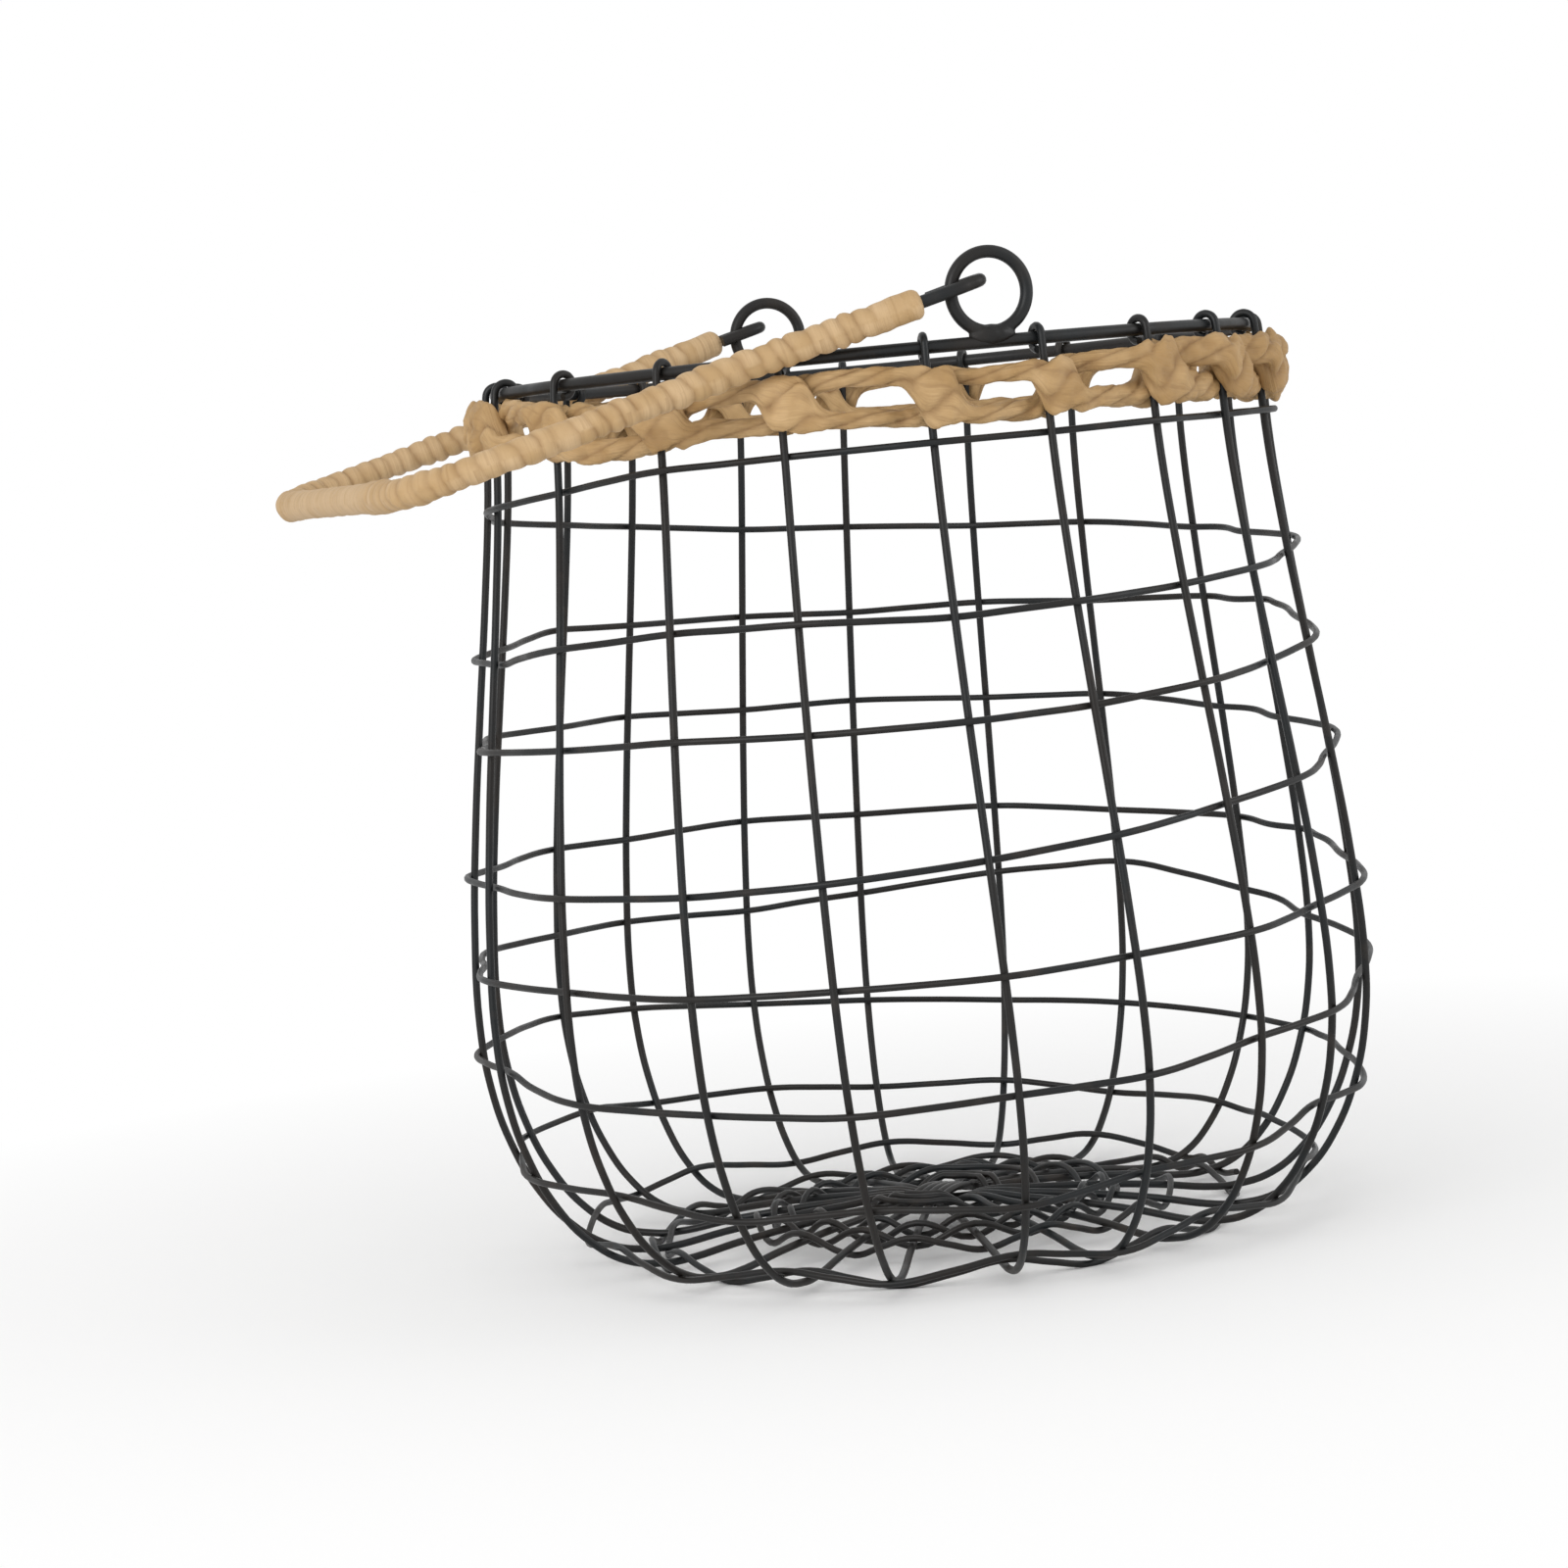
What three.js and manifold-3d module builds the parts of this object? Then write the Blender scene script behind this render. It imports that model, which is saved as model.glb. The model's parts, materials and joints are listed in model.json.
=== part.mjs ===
// Hanging planter basket, in millimetres, +Z up.
// A bowl of steel wire: ten U-shaped wires cross under the base, rise as twenty stakes and
// curl round a rim hoop. A thin weft wire is woven through them in a rising spiral, and the
// bowl stands on it where it passes under the stakes' lowest bends. Two twined raffia
// strands hide the stakes' tops. A raffia-wound bail handle hooks into two eyes welded on
// the rim, and lies folded to -X.
// The origin is on the ground, under the middle of the rim. The eyes are at -Y and +Y.
import * as THREE from "three";
import { mergeVertices } from "three/addons/utils/BufferGeometryUtils.js";
import Module from "manifold-3d";

const wasm = await Module();
wasm.setup();

// Clearances
const touch = 0.3; // between pieces that touch
const bendGap = 0.65; // between a weft and a stake where the weft bends sharply, on the base

// Bowl, measured at the centre lines of the stakes
const rimRadius = 124.5;
const rimHeight = 289.5;
const bellyRadius = 147.8;
const bellyHeight = 83.5;
const bellyShoulder = 60; // length of the belly's upright stretch in the wall's curve
const rimShoulder = 60; // the same just under the rim
const footRadius = 96;
const footFlat = 7; // length of the level stretch at the bottom of each stake
const domeRise = 8; // how far the middle of the base stands above those stretches
const bowlLean = 2.6; // how far the foot's middle lies towards -X from under the rim's
const leanPower = 4; // the higher, the nearer to the rim the bowl is drawn over

// Wires
const stakeWire = 2.5;
const weftWire = 2.2;
const rimRod = 4;
const bailWire = 4;

// Stakes
const stakeCount = 20;
const firstBearing = -174;
const stakeTwist = 4; // degrees that a stake's foot is turned past its top
const stakeDrift = [-3, 0, 2, 2, 4, 2.5, 2, 0, -2, 0, 0, -4, 0, 0, 2, 1, 3, -0.5, 1, -1];
const curlEnd = 275; // degrees that a stake's end turns round the rim hoop
const armStraight = 12; // the wires run side by side this far from the middle of the base
const armLevel = 8; // and keep to their own layer this far

// Weft: radii on the base after each turn, and a row of heights for each turn up the wall,
// in hundredths of the way up to the band, the first over +X and one every eighth of a turn
const lashTurns = 3;
const baseRadii = [14, 18.5, 24, 44, 51, 57, 63, 94, 98];
const closeRadius = 66; // inside it the stakes stand too close for a bow between them
const footRest = 3; // length of the weft that lies on the ground under a stake
const wallClimb = [
  [1.7, 3.1, 3.6, 4.6, 3.6, 2.9, 3.4, 4.8],
  [6.5, 9, 11.8, 14.9, 15.1, 12.2, 12, 15.5],
  [17.6, 20.2, 23.3, 27.9, 27.9, 24.6, 24.8, 27.9],
  [32.3, 39.7, 37.4, 39, 39.4, 38.6, 38.8, 40.3],
  [43.7, 47.4, 49.5, 50.2, 50.6, 50.2, 52.3, 56],
  [59.4, 63.2, 65.3, 66.9, 67, 68, 67.8, 70.1],
  [74.7, 76.6, 77.9, 79.5, 77.6, 80.6, 79.8, 81.4],
  [84.2, 87.1, 89.8, 93.6, 96.1, 99.3, 99.7, 99.9, 100],
];
const wallStart = 9; // the wall's weft starts halfway between this stake and the next
const wallPasses = 163;
const turnCut = 0.3; // between the pieces of the wall's weft, which is cut once a turn
const pairedStake = 11; // passed together with the stake before it, so that turns alternate

// Raffia band
const bandDrop = 13.5; // from the rim hoop's centre down to the band's
const bandSag = 4; // how much lower the band lies at -X than at +X
const strandHeight = 8.5;
const strandThickness = 5;
const strandSpread = 6; // how far a strand swings up and down between stakes

// Eyes
const eyeOutside = 28;
const eyeWire = 4;
const eyeSink = 1; // how deep the eye's ring is let into the rim hoop
const eyeHeight = rimHeight + rimRod / 2 - eyeSink + eyeOutside / 2;
const weldLength = 14.6;
const weldWidth = 6.4;
const weldHeight = 6.8;

// Bail handle, folded down
const foldAngle = 15;
const bailLift = 4.26; // from the eyes' centres to the plane of the bail
const bailReach = 187; // from the hinge line to the end bar
const bailCorner = 30;
const bailHalfWidth = rimRadius + 0.5; // at the end bar's corners
const bailWaist = rimRadius - 7.2; // where the arms are drawn in over the bowl
const bailDraw = 1; // how far the arms are still drawn in where their straight ends start
const bailWaistReach = 78;
const hookPlay = 0.3; // sideways, between the hook and the eye
const hookBend = 6; // from the hinge line to the middle of the hook's bend
const hookTail = 17.5;
const wrapStart = 19;
const wrapOutside = 9.5;
const wrapGroove = 0.6;
const wrapPitch = 5;

// Facets
const stakeSides = 5;
const weftSides = 5;
const rodSides = 6;
const wrapSides = 8;
const rimSteps = 60;
const eyeSides = 8;
const eyeSteps = 24;
const weldSides = 12;
const curlSteps = 8;

const { degToRad, lerp } = THREE.MathUtils;
const up = new THREE.Vector3(0, 0, 1);

// A horizontal unit vector at a bearing, in degrees from +X towards +Y
function heading(bearing) {
  const a = degToRad(bearing);
  return new THREE.Vector3(Math.cos(a), Math.sin(a), 0);
}

function polar(radius, bearing, z) {
  return heading(bearing).multiplyScalar(radius).setZ(z);
}

// A wire's route: its rings stand at the given points, each turned so that the
// section's own sideways direction follows the point's side vector.
class WireRoute extends THREE.Curve {
  constructor(stations) {
    super();
    this.stations = stations;
  }

  getSpacedPoints() {
    return this.stations.map((s) => s.point);
  }

  computeFrenetFrames() {
    const tangents = [];
    const normals = [];
    const binormals = [];
    this.stations.forEach((station, i) => {
      const tangent = routeTangent(this.stations, i);
      const normal = station.side.clone().addScaledVector(tangent, -station.side.dot(tangent));
      normal.normalize();
      tangents.push(tangent);
      normals.push(normal);
      binormals.push(tangent.clone().cross(normal));
    });
    return { tangents, normals, binormals };
  }
}

// The direction of a route at a point: the one given there, or else halfway between its
// two neighbouring stretches
function routeTangent(stations, i) {
  if (stations[i].along) return stations[i].along;
  const here = stations[i].point;
  const before = stations[Math.max(i - 1, 0)].point;
  const after = stations[Math.min(i + 1, stations.length - 1)].point;
  const tangent = here.clone().sub(before).normalize();
  return tangent.add(after.clone().sub(here).normalize()).normalize();
}

// A round section with one of its flats facing -Y
function wireSection(diameter, sides) {
  const corners = [];
  for (let i = 0; i < sides; i++) {
    const a = ((i + 0.5) / sides) * 2 * Math.PI - Math.PI / 2;
    corners.push(new THREE.Vector2(Math.cos(a), Math.sin(a)).multiplyScalar(diameter / 2));
  }
  return new THREE.Shape(corners);
}

function wireAlong(stations, diameter, sides) {
  return new THREE.ExtrudeGeometry(wireSection(diameter, sides), {
    steps: stations.length - 1,
    extrudePath: new WireRoute(stations),
  });
}

// The bowl leans: it stands to one side of the rim, and is drawn over to it near the top
function leanedPoint(point) {
  const lean = bowlLean * (1 - (point.z / rimHeight) ** leanPower);
  return point.clone().setX(point.x - lean);
}

function leaned(stations) {
  return stations.map((station) => ({ ...station, point: leanedPoint(station.point) }));
}

// A closed skin over a chain of rings, the last joined to the first
function skinRings(rings) {
  const count = rings[0].length;
  const index = [];
  rings.forEach((ring, i) => {
    const next = (i + 1) % rings.length;
    for (let j = 0; j < count; j++) {
      const k = (j + 1) % count;
      const [a, b, c, d] = [i * count + j, i * count + k, next * count + k, next * count + j];
      index.push(a, c, b, a, d, c);
    }
  });
  const geometry = new THREE.BufferGeometry().setFromPoints(rings.flat());
  geometry.setIndex(index);
  geometry.computeVertexNormals();
  return geometry;
}

function solidOf(geometry) {
  const bare = geometry.clone();
  bare.deleteAttribute("normal");
  bare.deleteAttribute("uv");
  const merged = mergeVertices(bare, 1e-4);
  return new wasm.Manifold(
    new wasm.Mesh({
      numProp: 3,
      vertProperties: merged.attributes.position.array,
      triVerts: new Uint32Array(merged.index.array),
    }),
  );
}

function geometryOf(solid) {
  const mesh = solid.getMesh();
  const geometry = new THREE.BufferGeometry();
  geometry.setAttribute("position", new THREE.BufferAttribute(mesh.vertProperties, 3));
  geometry.setIndex(new THREE.BufferAttribute(mesh.triVerts, 1));
  geometry.computeVertexNormals();
  return geometry;
}

// Stakes: shape of one stake, from the middle of the base out and up to its curl
const stakeRadius = stakeWire / 2;
const weftOffset = (stakeWire + weftWire) / 2 + touch;
const baseOffset = (stakeWire + weftWire) / 2 + bendGap;
const weftLevel = (weftWire / 2) * Math.cos(Math.PI / weftSides); // centre of a weft on its flat
const footLevel = weftLevel + weftOffset;
const footInner = footRadius - footFlat / 2;
const footOuter = footRadius + footFlat / 2;
const curlRadius = rimRod / 2 + touch + stakeRadius;
const stakeTop = rimRadius + curlRadius; // the stakes rise outside the rim hoop
const wirePitch = stakeWire + touch;
const armSize = stakeCount / 4; // wires side by side in each arm of the cross

function stakeBearing(k, z) {
  const twist = stakeTwist * (0.5 - z / rimHeight);
  return firstBearing + (360 / stakeCount) * k + stakeDrift[k] + twist;
}

function domeHeight(radius) {
  return footLevel + domeRise * (1 - (radius / footInner) ** 2);
}

// The wall from the foot to the rim, as a radius and a height at each step
function wallProfile() {
  const ellipseSteps = 6;
  const wallSteps = 6;
  const profile = [];
  for (let i = 0; i <= ellipseSteps; i++) {
    const a = ((i / ellipseSteps) * Math.PI) / 2;
    const r = footOuter + (bellyRadius - footOuter) * Math.sin(a);
    profile.push({ r, z: bellyHeight + (footLevel - bellyHeight) * Math.cos(a) });
  }
  const wall = new THREE.CubicBezierCurve(
    new THREE.Vector2(bellyRadius, bellyHeight),
    new THREE.Vector2(bellyRadius, bellyHeight + bellyShoulder),
    new THREE.Vector2(stakeTop, rimHeight - rimShoulder),
    new THREE.Vector2(stakeTop, rimHeight),
  );
  for (const p of wall.getPoints(wallSteps).slice(1)) profile.push({ r: p.x, z: p.y });
  return profile;
}

// The arm of the cross that a stake belongs to: its heading, its layer and the stake's lane
function armOf(k) {
  const arm = Math.floor(k / armSize);
  const middle = (armSize - 1) / 2;
  const bearing = firstBearing + (360 / stakeCount) * middle + 90 * arm + stakeTwist / 2;
  return {
    out: heading(bearing),
    across: heading(bearing + 90),
    lane: ((k % armSize) - middle) * wirePitch,
    layer: (arm % 2 === 0 ? 0.5 : -0.5) * wirePitch,
  };
}

function baseStations(k) {
  const { out, across, lane, layer } = armOf(k);
  const lanePoint = (along, lift) => {
    const p = out.clone().multiplyScalar(along).addScaledVector(across, lane);
    return p.setZ(domeHeight(p.length()) + lift);
  };
  const armEnd = lanePoint(armStraight, 0);
  const footBearing = stakeBearing(k, 0);
  const foot = polar(footInner, footBearing, footLevel);
  const side = heading(footBearing + 90);
  const stations = [
    { point: lanePoint(armLevel, layer), side: across },
    { point: armEnd, side: across },
  ];
  const spread = 4;
  for (let i = 1; i < spread; i++) {
    const p = armEnd.clone().lerp(foot, i / spread);
    stations.push({ point: p.setZ(domeHeight(Math.hypot(p.x, p.y))), side });
  }
  stations.push({ point: foot, side, along: heading(footBearing) });
  return stations;
}

function wallStations(k) {
  const stations = wallProfile().map(({ r, z }) => ({
    point: polar(r, stakeBearing(k, z), z),
    side: heading(stakeBearing(k, z) + 90),
  }));
  stations[0].along = heading(stakeBearing(k, 0));
  return stations;
}

function curlStations(k) {
  const bearing = stakeBearing(k, rimHeight);
  const stations = [];
  for (let i = 1; i <= curlSteps; i++) {
    const a = degToRad((curlEnd * i) / curlSteps);
    const r = rimRadius + curlRadius * Math.cos(a);
    const point = polar(r, bearing, rimHeight + curlRadius * Math.sin(a));
    stations.push({ point, side: heading(bearing + 90) });
  }
  return stations;
}

const stakes = [];
for (let k = 0; k < stakeCount; k++) {
  const base = baseStations(k);
  const wall = wallStations(k);
  stakes.push({ base, wall, whole: [...base, ...wall, ...curlStations(k)] });
}

// The wire that ends in stakes k and its partner, which lies in the same lane across the base
function stakePartner(k) {
  const lane = k % armSize;
  return k + 2 * armSize + (armSize - 1 - 2 * lane);
}

function stakeWireRoute(k) {
  const inward = stakes[stakePartner(k)].whole.map(({ point, side, along }) => ({
    point,
    side: side.clone().negate(),
    along: along?.clone().negate(),
  }));
  return [...inward.reverse(), ...stakes[k].whole];
}

// A point on a stake at a level, and the outward direction square to the stake there
function onStake(stations, measure, level) {
  let i = 1;
  while (i < stations.length - 1 && measure(stations[i].point) < level) i++;
  const a = stations[i - 1].point;
  const b = stations[i].point;
  const share = (level - measure(a)) / (measure(b) - measure(a));
  const along = b.clone().sub(a).normalize();
  return {
    point: a.clone().lerp(b, share),
    outward: stations[i].side.clone().cross(along).normalize(),
  };
}

const distanceOut = (p) => Math.hypot(p.x, p.y);
const heightUp = (p) => p.z;

// The middle of the stretch between two stakes, on the round of the bowl
function betweenStakes(a, b) {
  const from = Math.atan2(a.y, a.x);
  const turn = Math.atan2(b.y, b.x) - from;
  const half = Math.atan2(Math.sin(turn), Math.cos(turn)) / 2;
  const r = (distanceOut(a) + distanceOut(b)) / 2;
  return new THREE.Vector3(
    r * Math.cos(from + half),
    r * Math.sin(from + half),
    (a.z + b.z) / 2,
  );
}

// A weft from its passes: each lies outside (1) or inside (-1) its stake, at an offset.
// Where it passes under a stake's foot it rests on the ground for a short length.
function weftStations(passes) {
  const stations = [];
  passes.forEach((pass, i) => {
    const { side } = pass;
    if (i > 0 && !pass.close) {
      const middle = betweenStakes(passes[i - 1].point, pass.point);
      stations.push({ point: middle, side });
    }
    const point = pass.point.clone().addScaledVector(pass.outward, pass.over * pass.offset);
    if (pass.rest) {
      const along = up.clone().cross(pass.rest);
      const restEnd = (share) => point.clone().addScaledVector(along, share * footRest);
      stations.push({ point: restEnd(-0.5), side, along });
      stations.push({ point: restEnd(0.5), side, along });
    } else {
      stations.push({ point, side });
    }
  });
  return stations;
}

// On the base the weft first lashes the four arms, then passes under and over each stake
function basePasses() {
  const turns = new THREE.SplineCurve(baseRadii.map((r, i) => new THREE.Vector2(i, r)));
  const lastTurn = baseRadii.length - 1;
  const passes = [];
  let over = 1;
  for (let n = 0; n <= lastTurn * stakeCount; n++) {
    const k = n % stakeCount;
    const radius = turns.getPoint(n / stakeCount / lastTurn).y;
    const lash = n < lashTurns * stakeCount;
    if (lash) over = Math.floor(k / armSize) % 2 === 0 ? -1 : 1;
    else if (k !== pairedStake) over = -over;
    const close = radius < closeRadius;
    const outward = heading(stakeBearing(k, 0));
    passes.push({
      ...onStake([...stakes[k].base, ...stakes[k].wall], distanceOut, radius),
      side: outward.clone().negate(),
      over,
      offset: close ? baseOffset : weftOffset,
      close,
      rest: over > 0 && radius > footInner ? outward : null,
    });
  }
  return passes;
}

// Up the wall it passes outside and inside each stake in turn, up to the band's lowest edge
function wallPassList() {
  const bandBottom = rimHeight - bandDrop - bandSag - strandSpread - strandHeight / 2;
  const heights = wallClimb.flat();
  const climb = new THREE.SplineCurve(heights.map((z, i) => new THREE.Vector2(i, z)));
  const passes = [];
  let over = 1;
  for (let n = 0; n < wallPasses; n++) {
    const k = (wallStart + n) % stakeCount;
    const turn = Math.floor((wallStart + n) / stakeCount);
    const eighth = Math.max((stakeBearing(k, 0) + 360 * turn) / 45, 0);
    const share = climb.getPoint(eighth / (heights.length - 1)).y / 100;
    if (k !== pairedStake) over = -over;
    const spot = onStake(stakes[k].wall, heightUp, share * bandBottom);
    passes.push({ ...spot, side: up, over, offset: weftOffset });
  }
  return passes;
}

// The wall's weft as one piece a turn, cut square in the middle of a straight stretch
function weftTurns(stations) {
  const perTurn = 2 * stakeCount;
  const cutBeside = (i, sign) => {
    const from = stations[i].point;
    const to = stations[i + 1].point;
    const share = 0.5 + (sign * turnCut) / 2 / from.distanceTo(to);
    return { point: from.clone().lerp(to, share), side: up };
  };
  const count = Math.floor((stations.length - 1) / perTurn);
  const turns = [];
  for (let n = 0; n < count; n++) {
    const first = n * perTurn;
    const last = n === count - 1 ? stations.length - 1 : first + perTurn;
    const turn = stations.slice(n === 0 ? 0 : first + 1, last + 1);
    if (n > 0) turn.unshift(cutBeside(first, 1));
    if (n < count - 1) turn.push(cutBeside(last, -1));
    turns.push(turn);
  }
  return turns;
}

// The band's height at a stake
function bandHeight(k) {
  const level = rimHeight - bandDrop;
  const sag = (bandSag * (1 - Math.cos(degToRad(stakeBearing(k, level))))) / 2;
  return level - sag;
}

// Raffia band: two strands that turn about each other and hold each stake between them
function strandRings(phase) {
  const stepsPerStake = 3;
  const ringSides = 6;
  const reach = stakeRadius + touch + strandThickness / 2;
  const fullSwing = Math.sin((2 * Math.PI) / stepsPerStake / 2);
  const rings = [];
  for (let k = 0; k < stakeCount; k++) {
    const after = (k + 1) % stakeCount;
    const from = onStake(stakes[k].wall, heightUp, bandHeight(k)).point;
    const to = onStake(stakes[after].wall, heightUp, bandHeight(after)).point;
    const here = stakeBearing(k, from.z);
    let next = stakeBearing(after, to.z);
    if (next < here) next += 360;
    for (let i = 0; i < stepsPerStake; i++) {
      const share = i / stepsPerStake;
      const turn = Math.PI * (k + share) + phase;
      const r = lerp(distanceOut(from), distanceOut(to), share) + reach * Math.cos(turn);
      const z = lerp(from.z, to.z, share) - (strandSpread * Math.sin(turn)) / fullSwing;
      const ring = [];
      for (let j = 0; j < ringSides; j++) {
        const a = (j / ringSides) * 2 * Math.PI;
        const dr = (strandThickness / 2) * Math.cos(a);
        const dz = (strandHeight / 2) * Math.sin(a);
        ring.push(leanedPoint(polar(r + dr, lerp(here, next, share), z + dz)));
      }
      rings.push(ring);
    }
  }
  return rings;
}

// Eyes: a ring on edge and its weld, coped to sit on the rim hoop
const eyeRadius = (eyeOutside - eyeWire) / 2;

function eyeGeometry(sideways) {
  const ring = new THREE.TorusGeometry(eyeRadius, eyeWire / 2, eyeSides, eyeSteps);
  ring.rotateX(Math.PI / 2);
  ring.translate(0, sideways * rimRadius, eyeHeight);
  const weld = new THREE.SphereGeometry(0.5, weldSides, weldSides / 2);
  weld.scale(weldLength, weldWidth, weldHeight);
  weld.translate(0, sideways * rimRadius, rimHeight + rimRod / 2);
  const seat = new THREE.TorusGeometry(rimRadius, rimRod / 2 + touch, eyeSides, rimSteps);
  seat.translate(0, 0, rimHeight);
  return geometryOf(solidOf(ring).add(solidOf(weld)).subtract(solidOf(seat)));
}

// Bail: its route lies in the plane of the folded handle, with -X along the arms
const hookHalf = (eyeWire + bailWire) / 2 + hookPlay;

function halfBail() {
  const at = (reach, width) => ({ point: new THREE.Vector3(-reach, width, bailLift), side: up });
  const stations = [at(hookTail, rimRadius - hookHalf)];
  const bendSteps = 6;
  for (let i = 0; i <= bendSteps; i++) {
    const a = (i / bendSteps) * Math.PI;
    const width = rimRadius - hookHalf * Math.cos(a);
    stations.push(at(hookBend - hookHalf * Math.sin(a), width));
  }
  const cornerStart = bailReach - bailCorner;
  const arm = new THREE.SplineCurve([
    new THREE.Vector2(hookBend, rimRadius + hookHalf),
    new THREE.Vector2(wrapStart, rimRadius + hookHalf),
    new THREE.Vector2(bailWaistReach, bailWaist),
    new THREE.Vector2(cornerStart - bailCorner, bailHalfWidth - bailDraw),
    new THREE.Vector2(cornerStart, bailHalfWidth),
  ]);
  const armSteps = 16;
  for (const p of arm.getPoints(armSteps).slice(1)) stations.push(at(p.x, p.y));
  const cornerSteps = 7;
  for (let i = 1; i <= cornerSteps; i++) {
    const a = ((i / cornerSteps) * Math.PI) / 2;
    const reach = cornerStart + bailCorner * Math.sin(a);
    stations.push(at(reach, bailHalfWidth - bailCorner * (1 - Math.cos(a))));
  }
  return stations;
}

const rearHalf = halfBail();
const frontHalf = rearHalf.map(({ point, side }) => ({
  point: new THREE.Vector3(point.x, -point.y, point.z),
  side,
}));
const bailRoute = [...frontHalf, ...rearHalf.reverse()];

// Raffia winding: a ribbed sleeve whose bore follows the bail wire
function wrapRings() {
  const lengths = [0];
  for (let i = 1; i < bailRoute.length; i++) {
    lengths.push(lengths[i - 1] + bailRoute[i].point.distanceTo(bailRoute[i - 1].point));
  }
  const ringAt = (distance, radius) => {
    let i = 1;
    while (i < bailRoute.length - 1 && lengths[i] < distance) i++;
    const share = (distance - lengths[i - 1]) / (lengths[i] - lengths[i - 1]);
    const centre = bailRoute[i - 1].point.clone().lerp(bailRoute[i].point, share);
    const along = routeTangent(bailRoute, i - 1).lerp(routeTangent(bailRoute, i), share);
    const across = along.normalize().clone().cross(up);
    const ring = [];
    for (let j = 0; j < wrapSides; j++) {
      const a = ((j + 0.5) / wrapSides) * 2 * Math.PI;
      const p = centre.clone().addScaledVector(across, radius * Math.cos(a));
      ring.push(p.addScaledVector(up, radius * Math.sin(a)));
    }
    return ring;
  };
  const armLead = bailRoute.findIndex(
    ({ point }, i) => i > rearHalf.length / 3 && -point.x >= wrapStart,
  );
  const before = bailRoute[armLead - 1].point;
  const after = bailRoute[armLead].point;
  const lead = (wrapStart + before.x) / (before.x - after.x);
  const start = lerp(lengths[armLead - 1], lengths[armLead], lead);
  const end = lengths.at(-1) - start;
  const ribs = Math.round((end - start) / wrapPitch);
  const crest = wrapOutside / 2;
  const rings = [];
  for (let i = 0; i <= 2 * ribs; i++) {
    const radius = i % 2 === 0 ? crest - wrapGroove : crest;
    rings.push(ringAt(lerp(start, end, i / (2 * ribs)), radius));
  }
  const bore = bailWire / 2 + touch;
  rings.push(ringAt(end, bore));
  for (let i = lengths.length - 1; i > 0; i--) {
    if (lengths[i] < end && lengths[i] > start) rings.push(ringAt(lengths[i], bore));
  }
  rings.push(ringAt(start, bore));
  return rings;
}

// Finishes
const blackWire = new THREE.MeshStandardMaterial({
  color: 0x2c2b2a,
  roughness: 0.45,
  metalness: 0.4,
});
const paleRaffia = new THREE.MeshStandardMaterial({ color: 0xc9a56c, roughness: 0.8 });
const bandRaffia = new THREE.MeshStandardMaterial({ color: 0xb48a4e, roughness: 0.8 });

// Assembly
const basket = new THREE.Group();

function place(group, name, geometry, material) {
  const mesh = new THREE.Mesh(geometry, material);
  mesh.name = name;
  group.add(mesh);
}

const two = (n) => String(n).padStart(2, "0");

const hoop = new THREE.TorusGeometry(rimRadius, rimRod / 2, rodSides, rimSteps);
hoop.translate(0, 0, rimHeight);
place(basket, "rim_hoop", hoop, blackWire);

for (let k = 0; k < stakeCount / 2; k++) {
  const geometry = wireAlong(leaned(stakeWireRoute(k)), stakeWire, stakeSides);
  place(basket, "stake_wire_" + two(k + 1), geometry, blackWire);
}

const baseWeft = wireAlong(leaned(weftStations(basePasses())), weftWire, weftSides);
place(basket, "base_weft", baseWeft, blackWire);

weftTurns(weftStations(wallPassList()).slice(1, -1)).forEach((turn, i) => {
  const geometry = wireAlong(leaned(turn), weftWire, weftSides);
  place(basket, "wall_weft_turn_" + two(i + 1), geometry, blackWire);
});

place(basket, "band_strand_a", skinRings(strandRings(0)), bandRaffia);
place(basket, "band_strand_b", skinRings(strandRings(Math.PI)), bandRaffia);

place(basket, "eye_front", eyeGeometry(-1), blackWire);
place(basket, "eye_rear", eyeGeometry(1), blackWire);

const bail = new THREE.Group();
bail.position.z = eyeHeight;
bail.rotation.y = -degToRad(foldAngle);
basket.add(bail);
place(bail, "bail_wire", wireAlong(bailRoute, bailWire, wrapSides), blackWire);
place(bail, "raffia_wrap", skinRings(wrapRings()), paleRaffia);

export default basket;
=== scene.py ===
import json
import math
import random

import bmesh
import bpy
from mathutils import Matrix, Vector, noise


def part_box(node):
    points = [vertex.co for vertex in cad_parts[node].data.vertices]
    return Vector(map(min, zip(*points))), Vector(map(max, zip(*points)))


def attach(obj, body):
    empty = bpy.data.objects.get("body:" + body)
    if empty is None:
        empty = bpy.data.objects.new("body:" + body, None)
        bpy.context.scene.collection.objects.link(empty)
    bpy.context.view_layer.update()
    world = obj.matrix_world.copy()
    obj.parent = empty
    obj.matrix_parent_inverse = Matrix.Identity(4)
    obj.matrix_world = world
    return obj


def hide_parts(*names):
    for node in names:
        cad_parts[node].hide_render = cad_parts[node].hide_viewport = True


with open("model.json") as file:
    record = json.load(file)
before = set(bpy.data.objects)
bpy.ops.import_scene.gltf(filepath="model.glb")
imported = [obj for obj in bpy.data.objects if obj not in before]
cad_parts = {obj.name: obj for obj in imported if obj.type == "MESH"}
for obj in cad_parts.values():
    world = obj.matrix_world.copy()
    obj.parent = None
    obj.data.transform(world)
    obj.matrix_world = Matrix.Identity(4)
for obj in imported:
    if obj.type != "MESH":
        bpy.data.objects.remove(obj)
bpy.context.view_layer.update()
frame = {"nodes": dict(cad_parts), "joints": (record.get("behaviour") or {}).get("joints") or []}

# Camera: it stands a little above the rim and to the left of the front eye, tipped clockwise,
# as the photograph was taken, with the bowl filling the middle of a square picture.
camera_place = (-0.4014, -1.3044, 0.2594)
camera_right = Vector((0.9582, -0.2703, -0.0939))
camera_up = Vector((0.1112, 0.0496, 0.9926))
camera_lens = 94.56
camera_sensor = 36
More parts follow.
